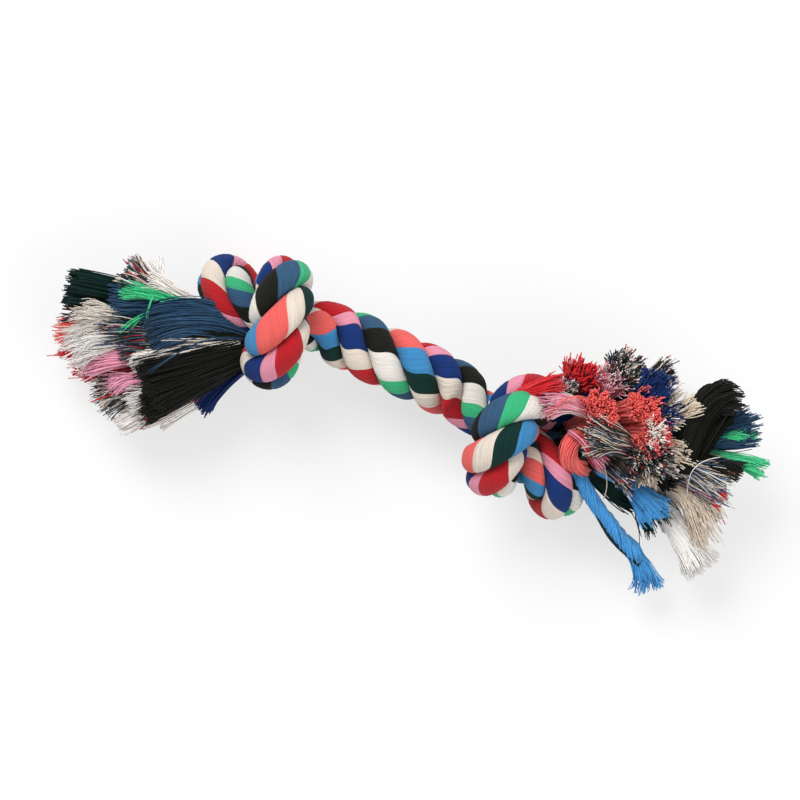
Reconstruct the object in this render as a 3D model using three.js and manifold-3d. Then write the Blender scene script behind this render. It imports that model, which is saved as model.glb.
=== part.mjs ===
// A rope dog toy: one length of three-strand cotton rope with an overhand knot near
// each end, the ends unlaid into tassels. Millimetres, +Z up, resting on z = 0.
import * as THREE from "three";
import { mergeVertices } from "three/addons/utils/BufferGeometryUtils.js";
import Module from "manifold-3d";

const wasm = await Module();
wasm.setup();

// Rope: its diameter, and the length in which a strand winds once round
const ropeDiameter = 22;
const layLength = 38.5;

// Knots: the size that their control points scale, where each one's middle lies, and
// how far it is turned on the table, rolled about the rope and tilted along it, in degrees
const knotSize = 21.5;
const leftKnot = { x: -50.5, y: 14, turn: 18.5, roll: 14, tilt: -27 };
const rightKnot = { x: 51.5, y: -10, turn: 178, roll: 14, tilt: -17 };

// Tassels: how long, how high and how far to the side their tufts reach, and how far
// the outer ones sweep back towards the knot
const tasselLength = 56;
const tasselHeight = 44;
const tuftReach = 32;
const tuftSweep = 16;
const tuftGap = 0.45;

// Room between pieces that touch, and how deep the lowest lobes are flattened
const pieceGap = 0.3;
const restDepth = 2.2;

// Points of the rope that are nearer along it than this belong to one pass
const samePassLength = 29;

// Control points of the right-hand half of a knot as shares of the knot size, and the
// rope's radius at each; the other half is the same with x and z turned over
const knotPointShares = [
  [0, -0.56, 0], [0.31, -0.62, 0.54], [0.7, -0.14, 0.83], [0.81, 0.48, 0.64],
  [0.66, 0.77, 0.05], [0.18, 0.48, -0.42], [-0.19, 0, -0.14], [-0.79, -0.06, 0.05],
];
const knotRadiusShares = [0.355, 0.435, 0.495, 0.5, 0.44, 0.295, 0.195, 0.21];

// The strands slip where the rope bends hard, so where they start, in degrees, is given at
// five stages: left belt, left lobe, main rope, right lobe and right belt. The stages are
// those of the control points of the left knot's belt and lobe.
const layStarts = [75, 80, -89, -253, -193];
const beltStages = [0.5, 0.25, 0, 0, 0, 0, 0, 0];
const lobeStages = [0.5, 0.75, 1, 1, 1, 1.2, 1.5, 1.85];

// Control points of the rope outside the knots, from left to right, with the height
// above the knots' middles and the rope's radius as a share of its full one
const leftTail = [[-70, 6, -6, 0.5]];
const middle = [[-28, 16.5, -2, 1], [-12, 12, -2, 1], [0, 9, -1, 1], [12, 6, -2, 1], [26, 2, -5, 1]];
const rightTail = [[72, -4, -4, 0.5]];

// Where each tassel's middle line ends
const leftTasselEnd = [-124, -1];
const rightTasselEnd = [132, -4];

const X = new THREE.Vector3(1, 0, 0);
const Y = new THREE.Vector3(0, 1, 0);
const Z = new THREE.Vector3(0, 0, 1);
const { degToRad, lerp, clamp, smoothstep } = THREE.MathUtils;

function knotControls(knot) {
  const place = new THREE.Matrix4().makeRotationAxis(Z, degToRad(knot.turn))
    .multiply(new THREE.Matrix4().makeRotationAxis(X, degToRad(knot.roll)))
    .multiply(new THREE.Matrix4().makeRotationAxis(Y, degToRad(knot.tilt)));
  const control = (x, y, z, k, stage) => ({
    point: new THREE.Vector3(x, y, z).multiplyScalar(knotSize).applyMatrix4(place)
      .add(new THREE.Vector3(knot.x, knot.y, 0)),
    radius: knotRadiusShares[k] * knotSize,
    stage,
  });
  const belt = knotPointShares.map(([x, y, z], k) => control(x, y, z, k, beltStages[k]));
  const lobe = knotPointShares.map(([x, y, z], k) => control(-x, y, -z, k, lobeStages[k]));
  return [...belt.slice(1).reverse(), ...lobe];
}

function freeControls(points, stage) {
  return points.map(([x, y, z, share]) => (
    { point: new THREE.Vector3(x, y, z), radius: share * ropeDiameter / 2, stage }));
}

// The right knot is passed the other way, so its stages count down from the last
const lastStage = layStarts.length - 1;
const rightKnotControls = knotControls(rightKnot).reverse()
  .map((control) => ({ ...control, stage: lastStage - control.stage }));
const ropeControls = [
  ...freeControls(leftTail, 0), ...knotControls(leftKnot), ...freeControls(middle, lastStage / 2),
  ...rightKnotControls, ...freeControls(rightTail, lastStage),
];

// A uniform cubic B-spline drawn by control points, cut into equal steps
function courseOf(controls, stepLength) {
  const ends = [controls[0], ...controls, controls.at(-1)];
  const fine = [];
  const spanSteps = 40;
  for (let span = 0; span + 3 < ends.length; span++) {
    for (let k = 0; k < spanSteps; k++) {
      const t = k / spanSteps;
      const weights = [(1 - t) ** 3, 3 * t ** 3 - 6 * t ** 2 + 4,
        -3 * t ** 3 + 3 * t ** 2 + 3 * t + 1, t ** 3].map((weight) => weight / 6);
      const sample = { point: new THREE.Vector3(), radius: 0, stage: 0, along: 0 };
      weights.forEach((weight, i) => {
        sample.point.addScaledVector(ends[span + i].point, weight);
        sample.radius += ends[span + i].radius * weight;
        sample.stage += ends[span + i].stage * weight;
      });
      const last = fine.at(-1);
      if (last) sample.along = last.along + last.point.distanceTo(sample.point);
      fine.push(sample);
    }
  }
  const total = fine.at(-1).along;
  const count = Math.ceil(total / stepLength);
  const course = [];
  let j = 0;
  for (let k = 0; k <= count; k++) {
    const along = total * k / count;
    while (j < fine.length - 2 && fine[j + 1].along < along) j++;
    const share = (along - fine[j].along) / (fine[j + 1].along - fine[j].along);
    course.push({
      point: fine[j].point.clone().lerp(fine[j + 1].point, share),
      radius: lerp(fine[j].radius, fine[j + 1].radius, share),
      stage: lerp(fine[j].stage, fine[j + 1].stage, share),
      along,
    });
  }
  addFrames(course);
  return course;
}

// The tangent at each step, and a side direction carried along without twist
function addFrames(course) {
  let side = Y.clone();
  course.forEach((step, k) => {
    const before = course[Math.max(k - 1, 0)].point;
    const after = course[Math.min(k + 1, course.length - 1)].point;
    step.tangent = after.clone().sub(before).normalize();
    if (k) {
      side.applyQuaternion(new THREE.Quaternion().setFromUnitVectors(course[k - 1].tangent, step.tangent));
    }
    side.addScaledVector(step.tangent, -side.dot(step.tangent)).normalize();
    step.side = side.clone();
    step.normal = step.tangent.clone().cross(side);
  });
}

// A closed skin over a row of rings, each a loop of the same number of points that
// turns right-handed about the way the rings go
function skin(rings, crossed = () => false) {
  const sides = rings[0].length;
  const triangles = [];
  const at = (i, k) => i * sides + k % sides;
  for (let i = 0; i + 1 < rings.length; i++) {
    for (let k = 0; k < sides; k++) {
      const [a, b, c, d] = [at(i, k), at(i, k + 1), at(i + 1, k + 1), at(i + 1, k)];
      triangles.push(...(crossed(k) ? [a, b, d, b, c, d] : [a, b, c, a, c, d]));
    }
  }
  const last = rings.length - 1;
  for (let k = 1; k + 1 < sides; k++) {
    triangles.push(at(0, 0), at(0, k + 1), at(0, k));
    triangles.push(at(last, 0), at(last, k), at(last, k + 1));
  }
  const geometry = new THREE.BufferGeometry();
  const positions = rings.flat().flatMap((point) => point.toArray());
  geometry.setAttribute("position", new THREE.Float32BufferAttribute(positions, 3));
  geometry.setIndex(triangles);
  return geometry;
}

// A strand is a rounded third of the rope's section, wound along its course. The shares
// are of the rope's diameter: where the section's middle lies, how deep and how wide
// it is either way of it.
const strandShares = { middle: 0.268, deep: 0.232, wide: 0.305 };
const strandSides = 12;
const stepsPerLay = 12;
const course = courseOf(ropeControls, layLength / stepsPerLay);

function layStartAt(stage) {
  const before = Math.min(Math.floor(stage), lastStage - 1);
  return degToRad(lerp(layStarts[before], layStarts[before + 1], stage - before));
}

function strandGeometry(index) {
  const third = 2 * Math.PI / 3;
  const rings = course.map((step) => {
    const angle = layStartAt(step.stage) - index * third + 2 * Math.PI * step.along / layLength;
    const out = step.side.clone().multiplyScalar(Math.cos(angle))
      .addScaledVector(step.normal, Math.sin(angle));
    const across = step.tangent.clone().cross(out);
    return Array.from({ length: strandSides }, (_, k) => {
      const around = 2 * Math.PI * (k + 0.5) / strandSides;
      const x = 2 * step.radius * (strandShares.middle + strandShares.deep * Math.cos(around));
      const y = 2 * step.radius * strandShares.wide * Math.sin(around);
      const limit = (x * Math.sin(third / 2) - pieceGap / 2) / Math.cos(third / 2);
      return step.point.clone().addScaledVector(out, x).addScaledVector(across, clamp(y, -limit, limit));
    });
  });
  return skin(rings, (k) => k >= strandSides / 2);
}

const strands = { strand_a: "#4f93d2", strand_b: "#c41f2b", strand_c: "#2c9c68" };
const strandSkins = Object.keys(strands).map((_, index) => strandGeometry(index));

// The floor touches the flattened lowest lobes
const lowest = Math.min(...strandSkins.map((geometry) => {
  geometry.computeBoundingBox();
  return geometry.boundingBox.min.z;
}));
const floor = lowest + restDepth;

// A tassel is a bundle of tufts that starts as wide as the rope's end and flares. Each
// tuft fills one cell of the bundle's round section: twelve round the rim, one for each
// coloured yarn bundle, and three in the middle, one for the mixed yarns of each strand.
// The rim goes from the far side over the top to the near side and back underneath; the
// shares are of the reach, of the length, and of the cell's width that the tip loses.
const colours = {
  forest: "#0b3d36", green: "#2f9e6b", denim: "#31567f", black: "#20231f", white: "#ece6dc",
  royal: "#1f3277", beige: "#cbb9a4", red: "#c1202b", pink: "#e59bb4", cream: "#e3d6c6",
  coral: "#f0605c", sky: "#3a8ad0", mixed: "#565a6b",
};
const leftTufts = [
  ["forest", 0.85, 1, 0.3], ["green", 0.9, 0.8, 0.3], ["denim", 0.8, 0.85, 0.3],
  ["white", 0.8, 0.95, 0.3], ["coral", 0.8, 1.02, 0.3], ["pink", 0.85, 0.9, 0.3],
  ["black", 0.95, 0.75, 0.1], ["royal", 1, 0.7, 0.3], ["beige", 0.9, 0.75, 0.3],
  ["red", 0.8, 0.8, 0.3], ["sky", 0.8, 0.95, 0.3], ["cream", 0.85, 0.85, 0.3],
];
const rightTufts = [
  ["red", 0.9, 0.65, 0.3], ["pink", 0.95, 0.8, 0.3], ["royal", 0.9, 0.9, 0.3],
  ["black", 0.9, 1.05, 0.2], ["coral", 0.9, 0.8, 0.3], ["beige", 1.15, 0.95, 0.3],
  ["white", 1.6, 0.95, 0.6], ["sky", 1.85, 0.8, 0.75], ["forest", 1.5, 0.75, 0.5],
  ["denim", 1.15, 1.05, 0.3], ["green", 0.9, 1.1, 0.3], ["cream", 0.9, 0.9, 0.3],
];
const rimShare = 0.45;
const coreLengthShare = 0.9;
const tuftSteps = 14;
const flareShare = 0.48;
const lowDelayShare = 0.12;

// Places a point of a tassel by its distance along the middle line and by its two
// coordinates in the bundle's section, all as shares
function tasselPlace(end, target, direction, tufts) {
  const start = end.point.clone().addScaledVector(end.tangent, direction * pieceGap);
  const finish = new THREE.Vector3(target[0], target[1], floor + tasselHeight / 2 - restDepth);
  const heading = finish.clone().sub(start).setZ(0).normalize();
  const handle = tasselLength / 3;
  const line = new THREE.CubicBezierCurve3(start,
    start.clone().addScaledVector(end.tangent, direction * handle),
    finish.clone().addScaledVector(heading, -handle), finish);
  const reachAt = (angle) => {
    const place = (angle / (2 * Math.PI) + 1) * tufts.length;
    const before = Math.floor(place);
    const [from, to] = [before, before + 1].map((k) => tufts[k % tufts.length][1]);
    return tuftReach * lerp(from, to, place - before);
  };
  return (t, u, v) => {
    const delay = lowDelayShare * Math.max(-v / Math.hypot(u, v), 0);
    const flare = smoothstep(t, delay, flareShare + delay);
    const tangent = line.getTangent(Math.min(t, 1));
    const side = Z.clone().cross(tangent).normalize().multiplyScalar(direction);
    const up = tangent.clone().cross(side).normalize().multiplyScalar(direction);
    return line.getPoint(Math.min(t, 1))
      .addScaledVector(tangent, Math.max(t - 1, 0) * tasselLength - (u * u + v * v) * flare * tuftSweep)
      .addScaledVector(side, u * lerp(end.radius, reachAt(Math.atan2(v, u)), flare))
      .addScaledVector(up, v * lerp(end.radius, tasselHeight / 2, flare));
  };
}

// The outline of a cell between two angles and two distances from the middle
function cellOutline(from, to, inner, outer, halfGap) {
  const point = (distance, angle) => [distance * Math.cos(angle), distance * Math.sin(angle)];
  const open = (distance) => halfGap / distance;
  const rim = [from + open(outer), (from + to) / 2, to - open(outer)];
  return [
    point(inner, from + open(inner)), ...rim.map((angle) => point(outer, angle)),
    point(inner, to - open(inner)),
  ];
}

function tuftGeometry(place, outline, lengthShare, taper, direction) {
  const middle = [0, 1].map((axis) => outline.reduce((sum, point) => sum + point[axis], 0) / outline.length);
  const inner = Array.from({ length: tuftSteps }, (_, k) => k / tuftSteps)
    .filter((t) => t < lengthShare - 0.5 / tuftSteps);
  const rings = [...inner, lengthShare].map((t) => {
    const narrow = 1 - taper * (t / lengthShare) ** 2;
    const ring = outline.map(([u, v]) => place(t,
      lerp(middle[0], u, narrow), lerp(middle[1], v, narrow)));
    return direction > 0 ? ring : ring.reverse();
  });
  // Diagonals run the same way on the faces that neighbours share
  return skin(rings, (k) => k === 3);
}

const toy = new THREE.Group();
const bodies = [];
const addPiece = (name, colour, geometry) => bodies.push({ name, colour, geometry });
Object.entries(strands).forEach(([name, colour], index) => addPiece(name, colour, strandSkins[index]));

function addTassel(side, end, target, direction, tufts) {
  const place = tasselPlace(end, target, direction, tufts);
  const halfGap = tuftGap / 2 / end.radius;
  const cell = 2 * Math.PI / tufts.length;
  tufts.forEach(([colour, , lengthShare, taper], k) => {
    const outline = cellOutline((k - 0.5) * cell, (k + 0.5) * cell, rimShare + halfGap, 1, halfGap);
    addPiece(`${side}_tuft_${colour}`, colours[colour],
      tuftGeometry(place, outline, lengthShare, taper, direction));
  });
  const third = 2 * Math.PI / 3;
  for (const k of [0, 1, 2]) {
    const outline = cellOutline(k * third, (k + 1) * third, 3 * halfGap, rimShare - halfGap, halfGap);
    addPiece(`${side}_tuft_mixed_${k + 1}`, colours.mixed,
      tuftGeometry(place, outline, coreLengthShare, 0, direction));
  }
}
addTassel("left", course[0], leftTasselEnd, -1, leftTufts);
addTassel("right", course.at(-1), rightTasselEnd, 1, rightTufts);

function solidOf(geometry) {
  const merged = mergeVertices(geometry);
  return new wasm.Manifold(new wasm.Mesh({
    numProp: 3,
    vertProperties: new Float32Array(merged.attributes.position.array),
    triVerts: new Uint32Array(merged.index.array),
  }));
}

function geometryOf(solid) {
  const mesh = solid.getMesh();
  const geometry = new THREE.BufferGeometry();
  geometry.setAttribute("position", new THREE.BufferAttribute(mesh.vertProperties, 3));
  geometry.setIndex(new THREE.BufferAttribute(mesh.triVerts, 1));
  return geometry;
}

const everything = new THREE.Box3();
for (const body of bodies) {
  body.geometry.computeBoundingBox();
  everything.union(body.geometry.boundingBox);
}
const size = everything.getSize(new THREE.Vector3());
const floorBlock = solidOf(new THREE.BoxGeometry(2 * size.x, 2 * size.y, size.z)
  .deleteAttribute("normal").deleteAttribute("uv").translate(0, 0, floor - size.z / 2));
for (const { name, colour, geometry } of bodies) {
  const cut = geometry.boundingBox.min.z < floor;
  const mesh = new THREE.Mesh(cut ? geometryOf(solidOf(geometry).subtract(floorBlock)) : geometry,
    new THREE.MeshStandardMaterial({ color: colour, roughness: 0.9, metalness: 0 }));
  mesh.name = name;
  toy.add(mesh);
}
const box = new THREE.Box3().setFromObject(toy);
const centre = box.getCenter(new THREE.Vector3());
toy.position.set(-centre.x, -centre.y, -floor);

// How close one pass of the rope comes to another, from surface to surface
let leastGap = Infinity;
for (const a of course) {
  for (const b of course) {
    if (b.along - a.along < samePassLength) continue;
    leastGap = Math.min(leastGap, a.point.distanceTo(b.point) - a.radius - b.radius);
  }
}
console.log(`Least gap between passes of the rope: ${leastGap.toFixed(2)} mm`);

export default toy;
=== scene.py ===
"""A rope dog toy: three-strand cotton rope with a knot near each end and frayed tassels.

Each strand is one skin of four coloured yarn bundles that twist the other way to the
rope. Each tassel is a set of tufts, and each tuft is made of separate cut yarns.
"""
import math
from collections import namedtuple

import bpy
import numpy as np
from mathutils import Matrix, Vector


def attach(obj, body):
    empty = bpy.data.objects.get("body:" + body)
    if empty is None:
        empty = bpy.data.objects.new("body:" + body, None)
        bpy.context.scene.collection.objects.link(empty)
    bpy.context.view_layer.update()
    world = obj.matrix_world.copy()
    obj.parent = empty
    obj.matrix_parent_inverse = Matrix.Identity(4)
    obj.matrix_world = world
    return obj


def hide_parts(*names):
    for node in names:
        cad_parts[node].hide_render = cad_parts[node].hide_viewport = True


bl_info = {
    "name": "Rope Dog Toy",
    "version": (1, 0, 0),
    "blender": (4, 5, 0),
    "location": "View3D > Sidebar > Rope Toy",
    "description": "Builds a knotted cotton rope toy with frayed tassels",
    "category": "Object",
}

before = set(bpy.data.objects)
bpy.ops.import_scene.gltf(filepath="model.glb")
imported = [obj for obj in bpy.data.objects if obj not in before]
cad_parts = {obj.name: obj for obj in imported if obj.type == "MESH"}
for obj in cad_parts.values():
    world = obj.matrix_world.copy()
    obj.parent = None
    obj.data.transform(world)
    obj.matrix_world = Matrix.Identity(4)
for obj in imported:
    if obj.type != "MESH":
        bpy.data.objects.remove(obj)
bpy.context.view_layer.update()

MM = 0.001
BODY = "root"
# Where the middle between the knots lies in the frame
SHIFT = np.array((-5.659, 5.514, 28.924)) * MM

# Control points of the right-hand half of a knot as shares of the knot size, and the
# rope's radius at each; the other half is the same with x and z turned over
KNOT_POINT_SHARES = np.array((
    (0, -0.56, 0), (0.31, -0.62, 0.54), (0.7, -0.14, 0.83), (0.81, 0.48, 0.64),
    (0.66, 0.77, 0.05), (0.18, 0.48, -0.42), (-0.19, 0, -0.14), (-0.79, -0.06, 0.05)))
KNOT_RADIUS_SHARES = (0.355, 0.435, 0.495, 0.5, 0.44, 0.295, 0.195, 0.21)
# The lay and the bundles slip where the rope bends hard, so their starts are given at five
# stages: left belt, left lobe, main rope, right lobe and right belt. A left knot's belt and
# lobe have these stages at their control points, and a right knot's are counted backwards
# from the last.
MAIN_STAGE = 2
LAST_STAGE = 4
BELT_STAGES = (0.5, 0.25, 0, 0, 0, 0, 0, 0)
LOBE_STAGES = (0.5, 0.75, 1, 1, 1, 1.2, 1.5, 1.85)
# Each knot's middle in metres, and its turn on the table, its roll about the rope and its
# tilt along the rope in degrees
LEFT_KNOT = {"x": -0.0505, "y": 0.014, "turn": 18.5, "roll": 14, "tilt": -27}
RIGHT_KNOT = {"x": 0.0515, "y": -0.010, "turn": 178, "roll": 14, "tilt": -17}
# The rope outside the knots: metres from the middle, and the radius as a share of the
# rope's own
LEFT_TAIL = ((-0.070, 0.006, -0.006, 0.5),)
MIDDLE = ((-0.028, 0.0165, -0.002, 1), (-0.012, 0.012, -0.002, 1), (0, 0.009, -0.001, 1),
          (0.012, 0.006, -0.002, 1), (0.026, 0.002, -0.005, 1))
RIGHT_TAIL = ((0.072, -0.004, -0.004, 0.5),)

# The four bundles of each strand: colour, and share of the strand's round
STRANDS = {
    "strand_a": (("cream", 0.2), ("coral", 0.33), ("sky", 0.26), ("forest", 0.21)),
    "strand_b": (("red", 0.335), ("pink", 0.165), ("royal", 0.27), ("cream", 0.23)),
    "strand_c": (("green", 0.19), ("denim", 0.25), ("black", 0.27), ("white", 0.29)),
}
# Where the lay starts in degrees, and the bundles of each strand in turns, at each stage
LAY_STARTS = (75, 80, -89, -253, -193)
BUNDLE_STARTS = (
    (0.689, 0.689, 0.605, 1.24, 0.666),
    (0.07, 0.372, -0.034, -0.34, 0.273),
    (0.45, 0.845, 1.29, 1.33, 1.43))

# The yarn is soft. Where a knot leaves it less than this share of the rope's radius, it
# swells by this share of what it lacks.
SWELL_LIMIT = 0.92
SWELL = 0.5
# A strand's section as shares of the rope's diameter: how far out its middle lies, its half
# depth and its half width
STRAND_SHARES = {"middle": 0.268, "deep": 0.232, "wide": 0.305}
# Grooves between the bundles: half width as a share of the strand's round, and depth as a
# share of its section. Ridges of yarn: how many, and their height as such a share.
GROOVE = {"width": 0.016, "depth": 0.045}
RIDGES = {"count": 20, "height": 0.008}
# How finely the rope is drawn: steps in each span of its course, metres between the rings
# of a strand, and points round it
SPAN_STEPS = 60
STRAND_STEP = 0.0007
STRAND_SIDES = 96
# The turn from one strand to the next
THIRD = 2 * math.pi / 3

# A lock is one bundle of yarns of a tuft: its colour or mixture, the control points of its
# middle line, its width and height at root and tip, how many yarns it has, how far they
# stray and how many turns they are twisted. Lengths are in millimetres from the middle
# between the knots.
Lock = namedtuple("Lock", "colour route widths heights yarns stray twist", defaults=(0,))

LEFT_TUFTS = {
    "left_tuft_forest": (
        Lock("forest", ((-56, 12, -5), (-92, 17, -4), (-121, 17, -5)), (6, 8), (5, 8), 330, 0.8),
        Lock("forest", ((-56, 10, -7), (-94, 11, -7), (-122, 11, -8)), (6, 8), (5, 9), 330, 0.8),
        Lock("speckled_dark", ((-96, 8, -4), (-112, 7, -4), (-120, 3, -5)), (3, 5), (3, 4), 60, 1.6)),
    "left_tuft_green": (
        Lock("green", ((-70, 15, 2), (-87, 17, 7), (-101, 16, 5)), (1.5, 6), (2, 4), 110, 1.2),
        Lock("green", ((-86, 12, 6), (-95, 7, 9), (-100, 0, 5)), (1, 3.5), (1, 2), 26, 1.6),
        Lock("green", ((-89, 16, 8), (-90, 13, 14), (-89, 6, 10)), (0.6, 0.6), (0.5, 0.5), 2, 0.5)),
    "left_tuft_denim": (
        Lock("denim", ((-50, 10, 2), (-64, 13, 9), (-76, 13, 12), (-88, 2.5, 9)),
             (11, 18), (7, 6), 560, 1.2, 0.1),
        Lock("denim", ((-62, 12, 0), (-88, 14.5, 3), (-104, 11.5, 2)), (4, 12), (4, 6), 280, 1.2),
        Lock("denim", ((-54, 7, 10), (-72, 7, 19), (-85, -14, 16)), (1, 2), (0.6, 0.6), 3, 1.0)),
    "left_tuft_white": (
        Lock("pale", ((-80, 6, -2), (-104, 8, 3), (-115, 3, 0)), (3, 11), (4, 6), 300, 2.6),
        Lock("white", ((-78, 2, -3), (-104, 0, 3), (-114, -8, -1)), (4, 14), (4, 8), 460, 2.8),
        Lock("white", ((-84, 21, 0), (-89, 24, 2), (-91, 30, 1)), (1, 4.5), (1, 3), 60, 1.0),
        Lock("white", ((-76, -12, 1), (-86, -19, 3), (-92, -22, 2)), (2, 6), (2, 4), 110, 1.8)),
    "left_tuft_coral": (
        Lock("coral", ((-80, 1, -6), (-106, 1, -7), (-121, -3, -8)), (6, 13), (5, 8), 360, 1.5),
        Lock("red", ((-94, -4, -8), (-112, -7, -8), (-119, -10, -9)), (4, 7), (4, 6), 130, 1.6)),
    "left_tuft_pink": (
        Lock("pink", ((-70, -2, -2), (-98, -6, 4), (-110, -12, -1)), (4, 7), (4, 5), 240, 1.3),
        Lock("pink", ((-72, -8, 0), (-91, -13, 4), (-101, -19, 0)), (3, 7), (4, 5), 180, 1.6)),
    "left_tuft_black": (
        Lock("black", ((-50, 6, 2), (-67, -3, 12), (-86.5, -16, 9)), (11, 21), (8, 9), 720, 1.0, 0.06),
        Lock("black", ((-52, 2, 0), (-70, -14, 8), (-86, -25, 5)), (6, 11), (5, 6), 240, 1.0)),
    "left_tuft_royal": (
        Lock("royal", ((-50, 4, -1), (-63, -6, 2), (-68.5, -18.5, -2)), (9, 14), (6, 8), 380, 0.9),
        Lock("royal", ((-54, 1, -10), (-68, -10, -17), (-82, -20, -19)), (8, 14), (7, 11), 240, 1.0)),
    "left_tuft_beige": (
        Lock("streaked", ((-54, -2, -3), (-68, -18, 4), (-86, -29, 2)), (3, 4), (3, 4), 100, 1.0),
        Lock("cream", ((-55, -4, -4), (-67, -19, 1), (-82, -26.5, 0)), (3, 6), (3, 4), 150, 1.1),
        Lock("beige", ((-56, 2, -10), (-72, 0, -19), (-92, -6, -21)), (7, 14), (6, 11), 240, 0.9)),
    "left_tuft_red": (
        Lock("red", ((-60, 2, -10), (-94, -7, -13), (-114, -13, -13)), (6, 11), (5, 8), 240, 1.3),),
    "left_tuft_sky": (
        Lock("sky", ((-60, 8, -8), (-92, 13, -9), (-119, 14.5, -6)), (4, 4), (4, 4), 110, 0.5),
        Lock("sky", ((-58, 6, -10), (-80, 12, -18), (-104, 16, -20)), (7, 15), (6, 11), 260, 0.9)),
    "left_tuft_cream": (
        Lock("cream", ((-66, 14, 0), (-84, 20, 5), (-93, 22, 3)), (2, 7), (2, 4), 120, 1.4),
        Lock("cream", ((-66, -8, -5), (-84, -25, -4), (-94, -30, -6)), (4, 8), (4, 6), 190, 0.9)),
    "left_tuft_mixed_1": (
        Lock("speckled", ((-80, 15, -1), (-93, 21, 3), (-101, 24, 3)), (3, 12), (4, 9), 300, 1.1),),
    "left_tuft_mixed_2": (
        Lock("speckled_dark", ((-70, 5, 1), (-93, 3, 6), (-105, 1, 1)), (4, 11), (4, 6), 300, 2.0),
        Lock("speckled_dark", ((-68, 2, 4), (-86, 0, 9), (-97, -4, 5)), (3, 9), (3, 5), 220, 1.7)),
    "left_tuft_mixed_3": (
        Lock("speckled", ((-68, -6, -4), (-92, -15, -2), (-103, -22, -4)), (4, 14), (4, 8), 380, 2.0),
        Lock("streaked", ((-55, 7, 6), (-70, 5, 12), (-84, 0, 9)), (4, 7), (3, 3), 110, 1.0),
        Lock("cream", ((-56, 5, 7), (-76, -1, 12), (-93, -8, 9)), (2.5, 4.5), (3, 3), 110, 1.1),
        Lock("black", ((-55, 8, 7), (-68, 7, 12), (-79, 4, 10)), (3, 5), (3, 3), 60, 0.8)),
}

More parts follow.
